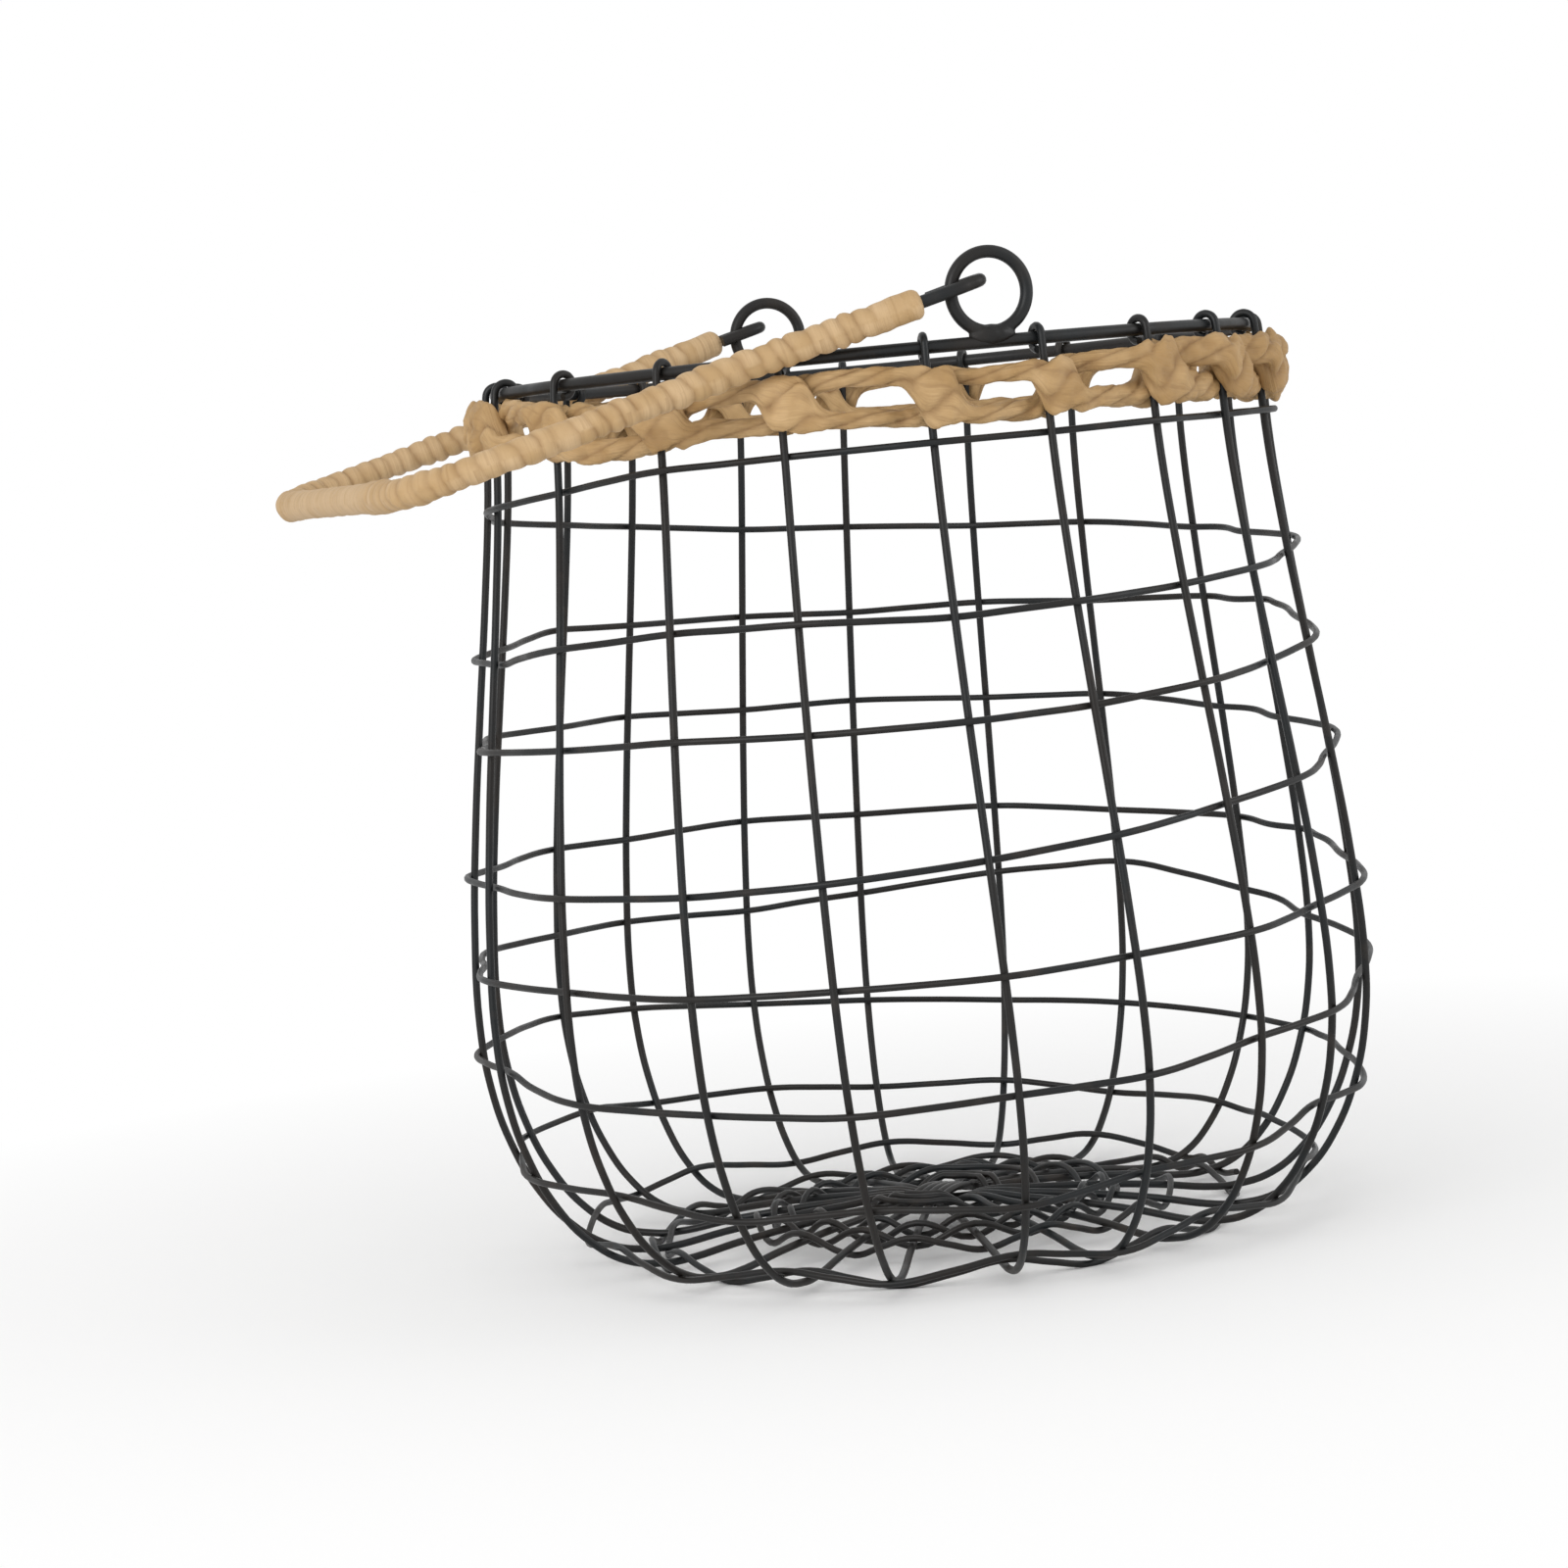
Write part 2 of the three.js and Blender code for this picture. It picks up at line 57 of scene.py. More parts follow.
bpy.ops.object.camera_add(location=camera_place)
camera = bpy.context.object
camera_turn = Matrix((camera_right, camera_up, camera_right.cross(camera_up))).transposed()
camera.rotation_euler = camera_turn.to_euler()
camera.data.lens = camera_lens
camera.data.sensor_width = camera_sensor
bpy.context.scene.camera = camera

# Rim hoop: a length of 4 mm steel rod rolled to a ring, its ends butt-welded at the back
# and the bead ground off, then dipped in black lacquer with the whole frame.
rod_thickness = 0.004
rim_low, rim_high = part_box("rim_hoop")
rim_radius = rim_high.x - rod_thickness / 2
rim_height = (rim_low.z + rim_high.z) / 2
rim_weld_bearing = 152
rim_weld_length = 0.006
rim_weld_swell = 0.0004
rim_steps = 360
rod_sides = 20
tint_scale = 24.0
tint_detail = 3.0
tint_edges = (0.4, 0.6)
rub_scale = 85.0
rub_detail = 5.0
rub_edges = (0.56, 0.72)
dimple_scale = 420.0
dimple_detail = 2.0
shine_edges = (0.3, 0.7)
lacquer_roughness = (0.34, 0.56)
lacquer_gloss = 0.3
rod_finish = {"Warm Black": (0.010, 0.0082, 0.007, 1), "Cool Black": (0.007, 0.0088, 0.010, 1),
              "Rubbed": (0.034, 0.027, 0.022, 1), "Wear": 0.35}
rod_dimple = 0.00006
colour_mix_inputs = (0, 6, 7)
colour_mix_output = 2


def start_piece():
    bpy.ops.object.select_all(action="DESELECT")


def pick(piece):
    """Selects one piece alone and makes it the active one."""
    start_piece()
    piece.select_set(True)
    bpy.context.view_layer.objects.active = piece


def towards(bearing):
    """The level direction at a bearing in radians."""
    return Vector((math.cos(bearing), math.sin(bearing), 0))


def finish_group(name, values):
    """A shader group for a finish: its named values go in, colour, roughness and height out."""
    group = bpy.data.node_groups.new(name, "ShaderNodeTree")
    for title, value in values.items():
        kind = "NodeSocketFloat" if isinstance(value, float) else "NodeSocketColor"
        socket = group.interface.new_socket(title, in_out="INPUT", socket_type=kind)
        socket.default_value = value
    for title in ("Color", "Roughness", "Height"):
        kind = "NodeSocketColor" if title == "Color" else "NodeSocketFloat"
        group.interface.new_socket(title, in_out="OUTPUT", socket_type=kind)
    return group, group.nodes.new("NodeGroupInput"), group.nodes.new("NodeGroupOutput")


def add_node(tree, kind, inputs=None, **settings):
    """A node with its settings, and each input set to a value or linked to a socket."""
    node = tree.nodes.new("ShaderNode" + kind)
    for key, value in settings.items():
        setattr(node, key, value)
    for key, value in (inputs or {}).items():
        if isinstance(value, bpy.types.NodeSocket):
            tree.links.new(value, node.inputs[key])
        else:
            node.inputs[key].default_value = value
    return node


def mix_colours(tree, share, first, second):
    """The first colour with a share of the second, by the sockets that colours have."""
    inputs = dict(zip(colour_mix_inputs, (share, first, second)))
    return add_node(tree, "Mix", inputs, data_type="RGBA").outputs[colour_mix_output]


def math_of(tree, operation, first, second, **settings):
    """The sum, product or the like of two numbers."""
    node = add_node(tree, "Math", {0: first, 1: second}, operation=operation, **settings)
    return node.outputs[0]


def noise_of(tree, place, scale, detail):
    """Soft noise, about 0.3 to 0.7, at the places given."""
    inputs = {"Vector": place, "Scale": scale, "Detail": detail}
    return add_node(tree, "TexNoise", inputs).outputs["Fac"]


def ramp_of(tree, value, low, high, start=0, end=1):
    """A number that goes from start to end while the value goes from low to high."""
    inputs = {"Value": value, "From Min": low, "From Max": high, "To Min": start, "To Max": end}
    return add_node(tree, "MapRange", inputs).outputs["Result"]


def finish_material(name, finish, values, relief, gloss):
    """A material that wears a finish, with its values, its relief in metres and its gloss."""
    material = bpy.data.materials.new(name)
    material.use_nodes = True
    tree = material.node_tree
    shader = tree.nodes["Principled BSDF"]
    shader.inputs["Specular IOR Level"].default_value = gloss
    coat = tree.nodes.new("ShaderNodeGroup")
    coat.node_tree = finish
    for title, value in values.items():
        coat.inputs[title].default_value = value
    bump = add_node(tree, "Bump", {"Height": coat.outputs["Height"], "Distance": relief})
    tree.links.new(coat.outputs["Color"], shader.inputs["Base Color"])
    tree.links.new(coat.outputs["Roughness"], shader.inputs["Roughness"])
    tree.links.new(bump.outputs["Normal"], shader.inputs["Normal"])
    return material


lacquer, taken, given = finish_group("lacquer_coat", rod_finish)
place = add_node(lacquer, "TexCoord").outputs["Object"]
tints = noise_of(lacquer, place, tint_scale, tint_detail)
rubs = noise_of(lacquer, place, rub_scale, rub_detail)
dimples = noise_of(lacquer, place, dimple_scale, dimple_detail)
coat = mix_colours(lacquer, ramp_of(lacquer, tints, *tint_edges),
                   taken.outputs["Warm Black"], taken.outputs["Cool Black"])
rub_share = math_of(lacquer, "MULTIPLY", ramp_of(lacquer, rubs, *rub_edges),
                    taken.outputs["Wear"])
lacquer.links.new(mix_colours(lacquer, rub_share, coat, taken.outputs["Rubbed"]),
                  given.inputs["Color"])
lacquer.links.new(ramp_of(lacquer, rubs, *shine_edges, *lacquer_roughness),
                  given.inputs["Roughness"])
lacquer.links.new(dimples, given.inputs["Height"])
rod_lacquer = finish_material("rod_lacquer", lacquer, rod_finish, rod_dimple, lacquer_gloss)

start_piece()
bpy.ops.mesh.primitive_torus_add(
    location=(0, 0, rim_height), major_radius=rim_radius, minor_radius=rod_thickness / 2,
    major_segments=rim_steps, minor_segments=rod_sides,
)
rim = bpy.context.object
rim.name = "rim_ring"
bpy.ops.object.transform_apply()
weld_place = towards(math.radians(rim_weld_bearing)) * rim_radius + Vector((0, 0, rim_height))
for vertex in rim.data.vertices:
    around = math.atan2(vertex.co.y, vertex.co.x)
    middle = towards(around) * rim_radius
    middle.z = rim_height
    away = (middle - weld_place).length / rim_weld_length
    swell = rim_weld_swell * math.exp(-away * away)
    vertex.co += (vertex.co - middle).normalized() * swell
bpy.ops.object.shade_smooth()
rim.data.materials.append(rod_lacquer)
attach(rim, "basket")
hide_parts("rim_hoop")

# Stake wires: ten lengths of 2.5 mm steel wire, bent to a wide U. They cross under the base,
# stand up as the twenty stakes of the wall, and each end is curled over the rim hoop.
stake_thickness = 0.0025
merge_distance = 2e-6
cap_flatness = 0.9999
wire_bend_steps = 6
wire_roundness = 3
wire_edge = math.radians(50)
wire_finish = {**rod_finish, "Wear": 0.6}
wire_dimple = 0.00004


def spread_over(start):
    """The mesh vertices in layers, each one edge further from the first."""
    layers = [set(start)]
    seen = set(start)
    while layers[-1]:
        layer = {edge.other_vert(v) for v in layers[-1] for edge in v.link_edges} - seen
        seen |= layer
        layers.append(layer)
    return layers[:-1]


def middle_of(vertices):
    """The middle of a set of vertices, added up in one fixed order so that runs agree."""
    in_order = sorted(vertices, key=lambda v: v.index)
    return sum((v.co for v in in_order), Vector()) / len(in_order)


def wire_line(node):
    """The middle of each ring of a wire's solid, from one end to the other."""
    mesh = bmesh.new()
    mesh.from_mesh(frame["nodes"][node].data)
    bmesh.ops.remove_doubles(mesh, verts=mesh.verts, dist=merge_distance)
    mesh.verts.index_update()
    mesh.faces.index_update()
    mesh.verts.ensure_lookup_table()
    tip = min(spread_over([mesh.verts[0]])[-1], key=lambda v: v.index)
    near = spread_over([tip])
    outward = tip.co - middle_of(near[1] | near[2])
    cap = [max(tip.link_faces, key=lambda face: face.normal.dot(outward))]
    for face in cap:
        beside = {g for edge in face.edges for g in edge.link_faces}
        flat = [g for g in beside if g.normal.dot(face.normal) > cap_flatness]
        cap += sorted((g for g in flat if g not in cap), key=lambda g: g.index)
    line = [middle_of(ring) for ring in spread_over({v for face in cap for v in face.verts})]
    mesh.free()
    return line


def wire_piece(name, line, thickness, material, roundness=wire_roundness):
    """A round wire through a line of points, its ends closed."""
    curve = bpy.data.curves.new(name, "CURVE")
    curve.dimensions = "3D"
    curve.resolution_u = wire_bend_steps
    curve.bevel_depth = thickness / 2
    curve.bevel_resolution = roundness
    curve.use_fill_caps = True
    spline = curve.splines.new("BEZIER")
    spline.bezier_points.add(len(line) - 1)
    for point, place in zip(spline.bezier_points, line):
        point.co = place
        point.handle_left_type = "AUTO"
        point.handle_right_type = "AUTO"
    wire = bpy.data.objects.new(name, curve)
    bpy.context.collection.objects.link(wire)
    pick(wire)
    bpy.ops.object.convert(target="MESH")
    wire = bpy.context.object
    bpy.ops.object.shade_smooth_by_angle(angle=wire_edge)
    wire.data.materials.append(material)
    return wire


wire_lacquer = finish_material("wire_lacquer", lacquer, wire_finish, wire_dimple, lacquer_gloss)

stake_nodes = sorted(name for name in frame["nodes"] if name.startswith("stake_wire"))
stake_lines = [wire_line(node) for node in stake_nodes]
for number, (node, line) in enumerate(zip(stake_nodes, stake_lines), 1):
    stake = wire_piece(f"stake_pair_{number:02d}", line, stake_thickness, wire_lacquer)
    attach(stake, "basket")
    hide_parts(node)

# Weft: one long 2.2 mm steel wire on the base and one on the wall, bent by hand outside and
# inside the stakes in turn. The wall's runs on for eight turns, so its pieces are one here,
# and the base's is rubbed flat where the basket stands on it.
weft_thickness = 0.0022
base_line = wire_line("base_weft")
base_weft = wire_piece("base_winding", base_line, weft_thickness, wire_lacquer)
for vertex in base_weft.data.vertices:
    vertex.co.z = max(vertex.co.z, 0)
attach(base_weft, "basket")
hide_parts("base_weft")

turn_nodes = sorted(name for name in frame["nodes"] if name.startswith("wall_weft"))
wall_line = []
for node in turn_nodes:
    turn = wire_line(node)
    if wall_line and (turn[0] - wall_line[-1]).length > (turn[-1] - wall_line[-1]).length:
        turn.reverse()
    if not wall_line and turn[0].z > turn[-1].z:
        turn.reverse()
    if wall_line:
        turn[0] = (turn[0] + wall_line.pop()) / 2
    wall_line += turn
wall_weft = wire_piece("wall_winding", wall_line, weft_thickness, wire_lacquer)
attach(wall_weft, "basket")
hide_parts(*turn_nodes)

# Eyes: two rings of 4 mm rod, closed and welded on edge on top of the rim hoop. The weld
# runs out along the hoop on both sides, and the bail's hooks turn in the rings.
weld_size = Vector((0.0146, 0.0064, 0.0066))
weld_grain = 0.00035
weld_easing = 6
eye_steps = 96
eye_sides = 24
bead_steps = 32
bead_rings = 16
bead_ripple = 0.0004
bead_ripple_scale = 500
unit_ball = 0.5
for name, node in (("eye_ring_front", "eye_front"), ("eye_ring_rear", "eye_rear")):
    eye_low, eye_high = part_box(node)
    eye_outside = eye_high.x - eye_low.x
    eye_middle = Vector((0, (eye_low.y + eye_high.y) / 2, eye_high.z - eye_outside / 2))
    start_piece()
    bpy.ops.mesh.primitive_torus_add(
        location=eye_middle, rotation=(math.pi / 2, 0, 0),
        major_radius=(eye_outside - rod_thickness) / 2, minor_radius=rod_thickness / 2,
        major_segments=eye_steps, minor_segments=eye_sides,
    )
    eye = bpy.context.object
    bpy.ops.mesh.primitive_uv_sphere_add(
        location=(0, math.copysign(rim_radius, eye_middle.y), rim_height + rod_thickness / 2),
        segments=bead_steps, ring_count=bead_rings, radius=unit_ball, scale=weld_size,
    )
    bead = bpy.context.object
    bpy.ops.object.transform_apply()
    for vertex in bead.data.vertices:
        ripple = bead_ripple * noise.noise(vertex.co * bead_ripple_scale)
        vertex.co += vertex.normal * ripple
    eye.select_set(True)
    bpy.context.view_layer.objects.active = eye
    bpy.ops.object.join()
    bpy.ops.object.transform_apply()
    eye.name = name
    remesh = eye.modifiers.new("weld", "REMESH")
    remesh.mode = "VOXEL"
    remesh.voxel_size = weld_grain
    bpy.ops.object.modifier_apply(modifier="weld")
    ease = eye.modifiers.new("ease", "SMOOTH")
    ease.iterations = weld_easing
    bpy.ops.object.modifier_apply(modifier="ease")
    bpy.ops.object.shade_smooth()
    eye.data.materials.append(rod_lacquer)
    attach(eye, "basket")
    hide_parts(node)

# Raffia band: two thick strands of raffia, twined about each other so that each stake is held
# between them, just under the rim. They are thin between the stakes, where they leave gaps,
# and each lies spread flat over every other stake. It was made by hand, so every bay differs.
bays_mm = (
    (12.2, 2.8, 18.8), (16.6, 2.6, 17.8), (13.8, 3.2, 15.4), (13.2, 6.6, 18.2), (15.7, 6.0, 16.8),
    (14.0, 4.0, 17.8), (13.0, 1.4, 19.8), (13.6, 0.4, 20.6), (13.6, 0.6, 20.8), (13.2, 2.0, 19.4),
    (11.4, 3.6, 17.0), (11.6, 5.8, 16.2), (11.4, 6.6, 15.6), (9.9, 6.8, 15.2), (10.4, 4.4, 15.6),
    (10.8, 3.4, 16.2), (11.0, 3.8, 15.8), (11.2, 3.0, 16.6), (11.0, 2.8, 17.6), (11.6, 2.6, 18.6),
)
mm_per_metre = 1000
crossing_late = 0.09
crossing_slope = 0.17
spread_outside = 0.46
spread_inside = 0.2
lower_lead = 1.35
crossing_bulge = 0.0014
strand_depth = 0.0047
usual_height = 0.0175
fill_power = 4
fullest = 1.95
strand_reach = 0.0038
steps_per_stake = 44
strand_corners = 40


def band_crossings(line):
    """Where a stake wire's two upright ends pass the middle of the band."""
    level = rim_height - sum(drop for drop, _, _ in bays_mm) / len(bays_mm) / mm_per_metre
    found = []
    for a, b in zip(line, line[1:]):
        if (a.z - level) * (b.z - level) < 0:
            found.append(a.lerp(b, (a.z - level) / (a.z - b.z)))
    return [found[0], found[-1]]


def in_bay(k, share):
    """The band's drop under the rim, gap and height in metres, part of the way along a bay."""
    near = bays_mm[(k + (-1 if share < 0.5 else 1)) % len(bays_mm)]
    ease = (1 + math.cos(math.tau * share)) / 4
    mixed = [own + (other - own) * ease for own, other in zip(bays_mm[k], near)]
    return [size / mm_per_metre for size in mixed]


def mesh_of_rings(name, rings, closed, material, values, fibres_round=False):
    """A skin over rings of points, with a UV map in metres whose V follows the fibres."""
    count = len(rings[0])
    steps = len(rings)
    points = [p for ring in rings for p in ring]
    faces = []
    for i in range(steps if closed else steps - 1):
        here = i * count
        there = ((i + 1) % steps) * count
        for j in range(count):
            k = (j + 1) % count
            faces.append((here + j, here + k, there + k, there + j))
    if not closed:
        faces.append(tuple(reversed(range(count))))
        faces.append(tuple(range((steps - 1) * count, steps * count)))
    mesh = bpy.data.meshes.new(name)
    mesh.from_pydata(points, [], faces)
    along = [0.0]
    for a, b in zip(rings, rings[1:] + rings[:1]):
        along.append(along[-1] + (b[0] - a[0]).length)
    girth = sum((rings[0][j] - rings[0][j - 1]).length for j in range(count))
    uv = mesh.uv_layers.new(name="UVMap")
    for face in mesh.polygons:
        for loop in face.loop_indices:
            i, j = divmod(mesh.loops[loop].vertex_index, count)
            ring = i + steps if i == 0 and face.index >= (steps - 1) * count else i
            corner = j + count if j == 0 and face.index % count == count - 1 else j
            round_it = girth * corner / count
            uv.data[loop].uv = (along[ring], round_it) if fibres_round else (round_it, along[ring])
    for title, rows in values.items():
        field = mesh.attributes.new(title, "FLOAT", "POINT")
        field.data.foreach_set("value", [v for row in rows for v in row])
    mesh.shade_smooth()
    piece = bpy.data.objects.new(name, mesh)
    bpy.context.collection.objects.link(piece)
    piece.data.materials.append(material)
    return piece


def turn_faces_outward(piece):
    pick(piece)
    bpy.ops.object.mode_set(mode="EDIT")
    bpy.ops.mesh.select_all(action="SELECT")
    bpy.ops.mesh.normals_make_consistent(inside=False)
    bpy.ops.object.mode_set(mode="OBJECT")


fibre_stretch = (1, 0.05, 1)
fibre_scale = 2400.0
fibre_detail = 3.0
fibre_edges = (0.6, 0.3)
fibre_strength = 0.55
fold_scale = 620.0
fold_detail = 2.0
fold_shade_edges = (0.48, 0.3)
fold_shade_strength = 0.35
fold_relief = 1.5
mottle_scale = 95.0
mottle_detail = 3.0
mottle_edges = (0.3, 0.7)
dry_edges = (0.3, 0.7)
raffia_roughness = (0.55, 0.8)
raffia_gloss = 0.5
# The third colour of each raffia finish is a painted shade colour: creases, hollows and folds are
# darkened towards it.
band_finish = {"Pale": (0.56, 0.375, 0.185, 1), "Tan": (0.385, 0.232, 0.09, 1),
               "Painted Shade": (0.19, 0.095, 0.03, 1)}
band_relief = 0.0002

raffia, taken, given = finish_group("raffia_leaf", band_finish)
uv_place = add_node(raffia, "UVMap", uv_map="UVMap").outputs["UV"]
stretched = add_node(raffia, "Mapping", {"Vector": uv_place, "Scale": fibre_stretch})
fibre_place = stretched.outputs["Vector"]
fibres = noise_of(raffia, fibre_place, fibre_scale, fibre_detail)
folds = noise_of(raffia, fibre_place, fold_scale, fold_detail)
body_place = add_node(raffia, "TexCoord").outputs["Object"]
mottle = noise_of(raffia, body_place, mottle_scale, mottle_detail)
own_tone = add_node(raffia, "Attribute", attribute_name="tone").outputs["Fac"]
painted_shade = add_node(raffia, "Attribute", attribute_name="shade").outputs["Fac"]
tone_sum = math_of(raffia, "ADD", ramp_of(raffia, mottle, *mottle_edges), own_tone,
                   use_clamp=True)
tone = mix_colours(raffia, tone_sum, taken.outputs["Tan"], taken.outputs["Pale"])
fibre_share = math_of(raffia, "MULTIPLY", ramp_of(raffia, fibres, *fibre_edges),
                      fibre_strength)
streak = mix_colours(raffia, fibre_share, tone, taken.outputs["Tan"])
# Painted shade: the colour is darkened towards the shade colour by the shade value of the creases
# and hollows, or by the dips of the fold texture where those are stronger.
fold_shade = math_of(raffia, "MULTIPLY", ramp_of(raffia, folds, *fold_shade_edges), fold_shade_strength)
painted_shade_share = math_of(raffia, "MAXIMUM", painted_shade, fold_shade)
raffia.links.new(mix_colours(raffia, painted_shade_share, streak, taken.outputs["Painted Shade"]),
                 given.inputs["Color"])
raffia.links.new(ramp_of(raffia, fibres, *dry_edges, *raffia_roughness),
                 given.inputs["Roughness"])
relief = math_of(raffia, "MULTIPLY", folds, fold_relief)
raffia.links.new(math_of(raffia, "ADD", relief, fibres), given.inputs["Height"])
band_raffia = finish_material("band_raffia", raffia, band_finish, band_relief, raffia_gloss)
raffia_seed = 7
draw = random.Random(raffia_seed)

stake_tops = [p for line in stake_lines for p in band_crossings(line)]
stake_tops.sort(key=lambda p: math.atan2(p.y, p.x))


def strand_route(strand):
    """A strand's middle line round the bowl, its outward direction, height and depth."""
    route = []
    for k, here in enumerate(stake_tops):
        there = stake_tops[(k + 1) % len(stake_tops)]
        start = math.atan2(here.y, here.x)
        turn = (math.atan2(there.y, there.x) - start) % math.tau
        for i in range(steps_per_stake):
            share = i / steps_per_stake
            drop, gap, full = in_bay(k, share)
            full += crossing_bulge * math.cos(math.pi * share) ** 2
            past = share - crossing_late
            stake = k if past < 0.5 else k + 1
            outside = (stake + strand) % 2 == 0
            away = math.pi * (past - (stake - k))
            spread = spread_outside if outside else spread_inside
            late = (1 + math.tanh((away - spread) / crossing_slope)) / 2
            soon = (1 + math.tanh((away + lower_lead * spread) / crossing_slope)) / 2
            top = full / 2 - (full + gap) / 2 * late
            bottom = gap / 2 - (full + gap) / 2 * soon
            if not outside:
                top, bottom = -bottom, -top
            reach = strand_reach * math.cos(math.pi * (k + share + strand))
            bearing = start + turn * share
            out = towards(bearing)
            radius = (1 - share) * here.to_2d().length + share * there.to_2d().length + reach
            level = rim_height - drop + (top + bottom) / 2
            fill = max(1, (full / usual_height) ** fill_power)
            place = out * radius + Vector((0, 0, level))
            route.append((place, out, top - bottom, strand_depth * min(fullest, fill)))
    return route


strand_plies = 3
strand_lay = 0.042
lay_sway = 0.7
lay_sway_scale = 45
ply_crease = 0.27
ply_roundness = 0.75
ridge_count = 9
ridge_height = 0.02
ridge_sway = 3
ridge_sway_scale = 70
slump_share = 0.16
slump_scale = 60
swell_share = 0.16
swell_scale = 150
crumple_share = 0.06
crumple_scale = 420
lump_height = 0.0011
lump_scale = 210
small_lump_share = 0.4
small_lump_scale = 480
crease_shade = 0.95
crease_shade_start = 0.25
crease_shade_power = 1.5
swell_hollow = 0.5
lump_hollow = 0.8
hollow_shade = 0.5
ply_tone_range = 0.35
ply_tone_share = 0.6
golden_bearing = math.radians(-12)
golden_tone = 0.7
golden_power = 6


def strand_rings(route, seed):
    """A strand's rings, its three plies turning about its middle line, with shade and tone."""
    lengths = [0.0]
    for a, b in zip(route, route[1:] + route[:1]):
        lengths.append(lengths[-1] + (b[0] - a[0]).length)
    turns = round(lengths[-1] / strand_lay * strand_plies) / strand_plies
    ply_tones = [draw.uniform(-ply_tone_range, ply_tone_range) for _ in range(strand_plies)]
    rings = []
    shades = []
    tones = []
    for i, (place, out, height, depth) in enumerate(route):
        lay = math.tau * turns * lengths[i] / lengths[-1]
        lay += lay_sway * noise.noise(place * lay_sway_scale + seed)
        slump = 1 + slump_share * noise.noise(place * slump_scale - seed)
        ridge_wave = ridge_sway * noise.noise(place * ridge_sway_scale + seed)
        golden = 0.5 + 0.5 * math.cos(math.atan2(place.y, place.x) - golden_bearing)
        ring = []
        shade = []
        tone = []
        for j in range(strand_corners):
            a = math.tau * j / strand_corners
            ply_turn = strand_plies * (a - lay) / 2
            crease = 1 - abs(math.cos(ply_turn)) ** ply_roundness
            ridges = ridge_height * math.sin(ridge_count * (a - lay) + ridge_wave)
            p = out * depth / 2 * math.cos(a) + Vector((0, 0, height / 2 * math.sin(a)))
            spot = place + p
            swelling = noise.noise(spot * swell_scale + seed)
            crumple = noise.noise(spot * crumple_scale - seed)
            swell = slump * (1 + ridges - ply_crease * crease)
            swell += swell_share * swelling + crumple_share * crumple
            lump = noise.noise(spot * lump_scale - seed)
            lump += small_lump_share * noise.noise(spot * small_lump_scale + seed)
            ring.append(place + p * swell + out * math.cos(a) * lump_height * lump)
            # Painted shade: the creases between the plies and the hollows of the lumps get a shade
            # value, which darkens the raffia's colour there.
            hollow = max(0, -swell_hollow * swelling - lump_hollow * lump)
            dark = crease_shade * max(0, crease - crease_shade_start) ** crease_shade_power
            shade.append(min(1, dark + hollow_shade * hollow))
            ply = math.floor(ply_turn / math.pi + 0.5) % strand_plies
            tone.append(ply_tone_share * ply_tones[ply] - golden_tone * golden ** golden_power)
        rings.append(ring)
        shades.append(shade)
        tones.append(tone)
    return rings, {"shade": shades, "tone": tones}


strand_seeds = (Vector((3, 1, 7)), Vector((9, 4, 2)))
for strand, seed in enumerate(strand_seeds):
    rings, values = strand_rings(strand_route(strand), seed)
    band = mesh_of_rings(f"raffia_strand_{'ab'[strand]}", rings, True, band_raffia, values)
    turn_faces_outward(band)
    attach(band, "basket")
    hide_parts(f"band_strand_{'ab'[strand]}")

# Bail wire: 4 mm steel wire bent to a wide U with rounded corners. Each end is turned back
# through its eye as an open hook, cut square, and black where the raffia leaves it bare.
rod_roundness = 5
bail_line = wire_line("bail_wire")
bail = wire_piece("bail_rod", bail_line, rod_thickness, rod_lacquer, rod_roundness)
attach(bail, "handle")
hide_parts("bail_wire")

# Raffia winding: a soft strip of raffia leaf, wound side by side by hand round the bail from
# hook to hook. No two turns are quite as wide or as tight, and a smooth one ends each side.
bare_front = 0.0225
bare_rear = 0.017
winding_radius = 0.0047
winding_corners = 30
inside_rod = 0.0018
ring_spacing = 0.00042
easing_passes = 90
turn_width = 0.0058
turn_spread = 0.0015
turn_lift = 0.0004
turn_lean = 1.15
turn_roundness = 0.8
turn_sway = 0.16
turn_sway_scale = 160
turn_shade = 0.8
turn_shade_power = 1.3
turn_tone_range = 0.4
crease_depth = 0.00095
crease_least = 0.5
dent_height = 0.0004
dent_scale = 110
wrinkle_height = 0.00018
wrinkle_scale = 300
smooth_end = 0.012
end_crease = 0.12
end_fade = 0.006
end_round = 0.0026
bar_half = 0.085
bar_fade = 0.02
smooth_bar = 0.2
bar_evenness = 0.6
bar_paleness = 0.45
corner_bulge = 0.0005
corner_bulge_length = 0.02
corner_smooth = 0.4
corner_smooth_length = 0.045
# As on the band, the third colour is the painted shade colour that the winding's creases and folds
# are darkened towards.
grip_finish = {"Pale": (0.575, 0.40, 0.222, 1), "Tan": (0.455, 0.292, 0.133, 1),
               "Painted Shade": (0.25, 0.135, 0.046, 1)}
grip_relief = 0.00018
grip_raffia = finish_material("grip_raffia", raffia, grip_finish, grip_relief, raffia_gloss)
hinge_height = frame["joints"][0]["pos_m"][2]

bail_lengths = [0.0]
for a, b in zip(bail_line, bail_line[1:]):
    bail_lengths.append(bail_lengths[-1] + (b - a).length)
centres = []
point = 1
for step in range(int(bail_lengths[-1] / ring_spacing)):
    distance = step * ring_spacing
    while bail_lengths[point] < distance:
        point += 1
    stretch = bail_lengths[point] - bail_lengths[point - 1]
    share = (distance - bail_lengths[point - 1]) / stretch
    centres.append(bail_line[point - 1].lerp(bail_line[point], share))
middle = len(centres) // 2


def is_wound(p):
    """Whether the raffia covers the bail at a point: it starts clear of the eye."""
    bare = bare_front if p.y < 0 else bare_rear
    return math.hypot(p.x, p.z - hinge_height) > bare


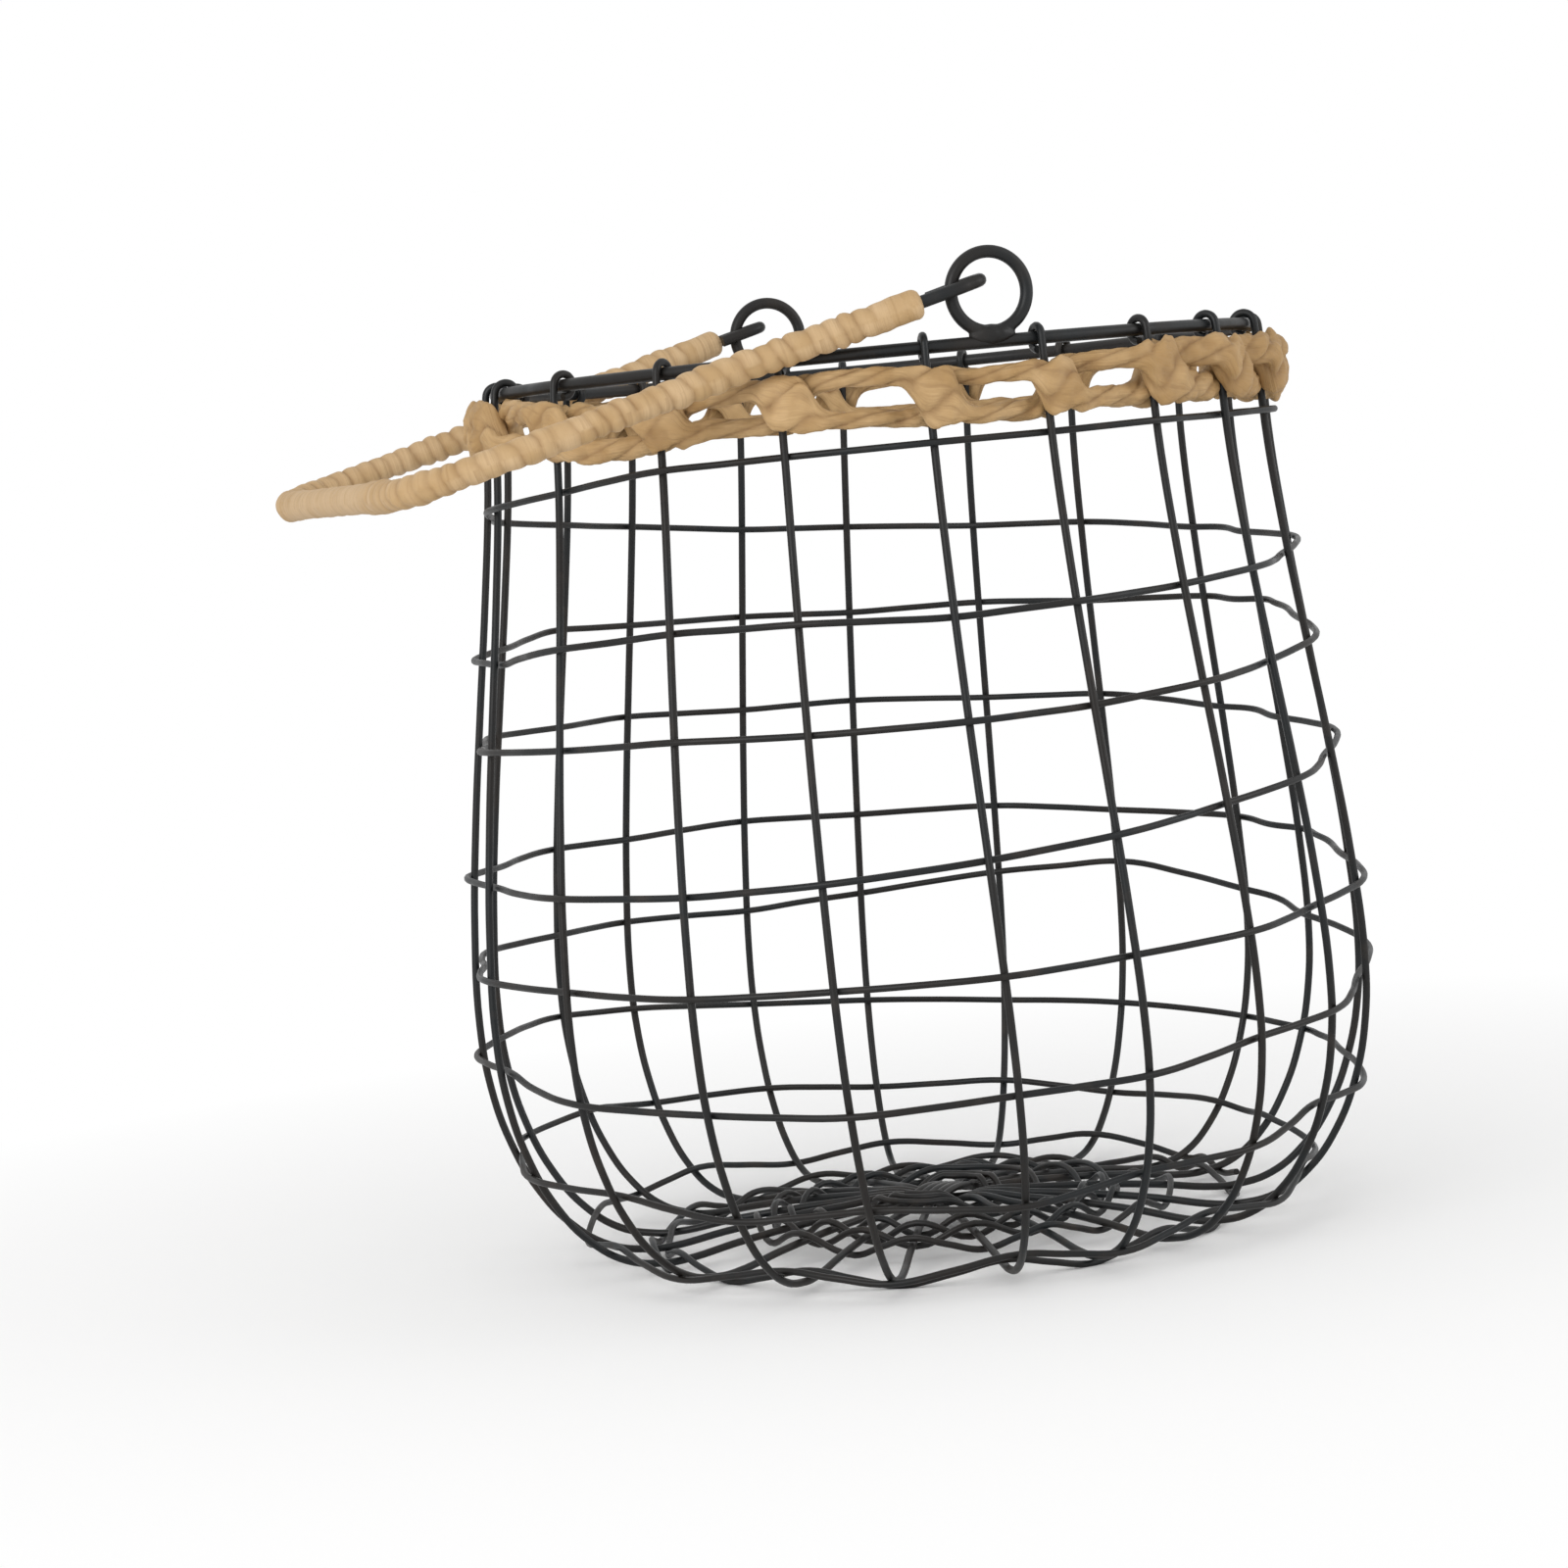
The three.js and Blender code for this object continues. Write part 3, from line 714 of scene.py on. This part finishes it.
first = middle
while is_wound(centres[first - 1]):
    first -= 1
last = middle
while is_wound(centres[last + 1]):
    last += 1
centres = centres[first:last + 1]
for _ in range(easing_passes):
    centres[1:-1] = [(a + 2 * b + c) / 4 for a, b, c in zip(centres, centres[1:], centres[2:])]
ring_count = len(centres) - 1
wound_length = ring_count * ring_spacing
bail_normal = (centres[ring_count // 2] - centres[0]).cross(centres[-1] - centres[0]).normalized()
if bail_normal.z < 0:
    bail_normal.negate()

borders = [0.0]
while borders[-1] < wound_length:
    borders.append(borders[-1] + turn_width + draw.uniform(-1, 1) * turn_spread)
lifts = [draw.uniform(-1, 1) * turn_lift for _ in range(len(borders) + 2)]
turn_tones = [draw.uniform(-turn_tone_range, turn_tone_range) for _ in range(len(borders) + 2)]
creases = [draw.uniform(crease_least, 1) for _ in range(len(borders) + 3)]
bar_middle = wound_length / 2


def near_corner(distance, length):
    """How near a place along the winding is to a corner of the handle, from 0 to 1."""
    from_corner = abs(abs(distance - bar_middle) - bar_half)
    return math.exp(-(from_corner / length) ** 2)


rings = []
shades = []
tones = []
border = 0
for i, centre in enumerate(centres):
    distance = i * ring_spacing
    while borders[border + 1] < distance:
        border += 1
    passed = border + (distance - borders[border]) / (borders[border + 1] - borders[border])
    along = (centres[min(i + 1, ring_count)] - centres[max(i - 1, 0)]).normalized()
    side = bail_normal.cross(along).normalized()
    square = along.cross(side).normalized()
    from_end = max(0, min(distance, wound_length - distance))
    on_bar = min(1, max(0, (bar_half - abs(distance - bar_middle)) / bar_fade))
    depth = crease_depth * min(1, max(end_crease, (from_end - smooth_end) / end_fade))
    depth *= 1 - (1 - smooth_bar) * on_bar
    depth *= 1 - corner_smooth * near_corner(distance, corner_smooth_length)
    bulge = corner_bulge * near_corner(distance, corner_bulge_length)
    rounding = math.sqrt(1 - (1 - min(1, from_end / end_round)) ** 2)
    ring = []
    shade = []
    tone = []
    for j in range(winding_corners):
        angle = math.tau * j / winding_corners
        outward = side * math.cos(angle) + square * math.sin(angle)
        round_place = Vector((distance * turn_sway_scale, math.cos(angle), math.sin(angle)))
        turn = passed + 1 - j / winding_corners + turn_sway * noise.noise(round_place)
        share = (turn % 1) ** turn_lean
        number = min(int(turn), len(lifts) - 1)
        firm = creases[number] + (creases[number + 1] - creases[number]) * share
        rise = 1 - firm * (1 - math.sin(math.pi * share) ** turn_roundness)
        spot = centre + outward * winding_radius
        crumple = dent_height * noise.noise(spot * dent_scale)
        crumple += wrinkle_height * noise.noise(spot * wrinkle_scale)
        radius = winding_radius + lifts[number] * rise * depth / crease_depth + bulge
        radius += depth * (rise - 1) + crumple
        ring.append(centre + outward * (inside_rod + (radius - inside_rod) * rounding))
        # Painted shade: the creases between the turns get a shade value, which darkens the
        # raffia's colour there, less where the creases are shallow.
        shade.append(turn_shade * (1 - rise) ** turn_shade_power * depth / crease_depth)
        tone.append(turn_tones[number] * (1 - bar_evenness * on_bar) + bar_paleness * on_bar)
    rings.append(ring)
    shades.append(shade)
    tones.append(tone)
winding = mesh_of_rings("raffia_winding", rings, False, grip_raffia,
                        {"shade": shades, "tone": tones}, fibres_round=True)
turn_faces_outward(winding)
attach(winding, "handle")
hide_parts("raffia_wrap")

# Floor and light: a plain pale studio floor that fades to white round the basket, lit by a
# large soft lamp at the left, a weaker one at the right and an even white surround.
floor_size = 12
floor_colour = (0.94, 0.94, 0.938, 1)
floor_roughness = 0.9
fade_start = 0.12
fade_end = 0.55
pure_white = (1, 1, 1, 1)
surround_light = 0.74
lamps = (((-1.2, -1.1, 0.8), 1.0, 12), ((1.2, -0.8, 0.7), 0.9, 5))
lit_height = 0.15


def seen_straight(tree):
    """1 where the camera looks, also by way of a gloss, and 0 where light only falls."""
    rays = add_node(tree, "LightPath").outputs
    either = math_of(tree, "MAXIMUM", rays["Is Camera Ray"], rays["Is Glossy Ray"])
    return math_of(tree, "MAXIMUM", either, rays["Is Transmission Ray"])


start_piece()
bpy.ops.mesh.primitive_plane_add(size=floor_size)
floor = bpy.context.object
floor.name = "studio_floor"
floor_paint = bpy.data.materials.new("floor_paint")
floor_paint.use_nodes = True
tree = floor_paint.node_tree
shader = tree.nodes["Principled BSDF"]
shader.inputs["Base Color"].default_value = floor_colour
shader.inputs["Roughness"].default_value = floor_roughness
floor_place = add_node(tree, "TexCoord").outputs["Object"]
from_middle = add_node(tree, "VectorMath", {0: floor_place}, operation="LENGTH")
fade = math_of(tree, "MULTIPLY",
               ramp_of(tree, from_middle.outputs["Value"], fade_start, fade_end),
               seen_straight(tree))
white = add_node(tree, "Emission", {"Color": pure_white, "Strength": 1.0})
blend = add_node(tree, "MixShader", {0: fade, 1: shader.outputs[0], 2: white.outputs[0]})
tree.links.new(blend.outputs[0], tree.nodes["Material Output"].inputs["Surface"])
floor.data.materials.append(floor_paint)

world = bpy.data.worlds.new("studio")
bpy.context.scene.world = world
world.use_nodes = True
tree = world.node_tree
strength = ramp_of(tree, seen_straight(tree), 0, 1, surround_light, 1)
surround = tree.nodes["Background"]
surround.inputs["Color"].default_value = pure_white
tree.links.new(strength, surround.inputs["Strength"])

for place, size, power in lamps:
    bpy.ops.object.light_add(type="AREA", location=place)
    lamp = bpy.context.object
    lamp.data.size = size
    lamp.data.energy = power
    aim = Vector((0, 0, lit_height)) - Vector(place)
    lamp.rotation_euler = aim.to_track_quat("-Z", "Y").to_euler()

bpy.context.scene.view_settings.view_transform = "Standard"
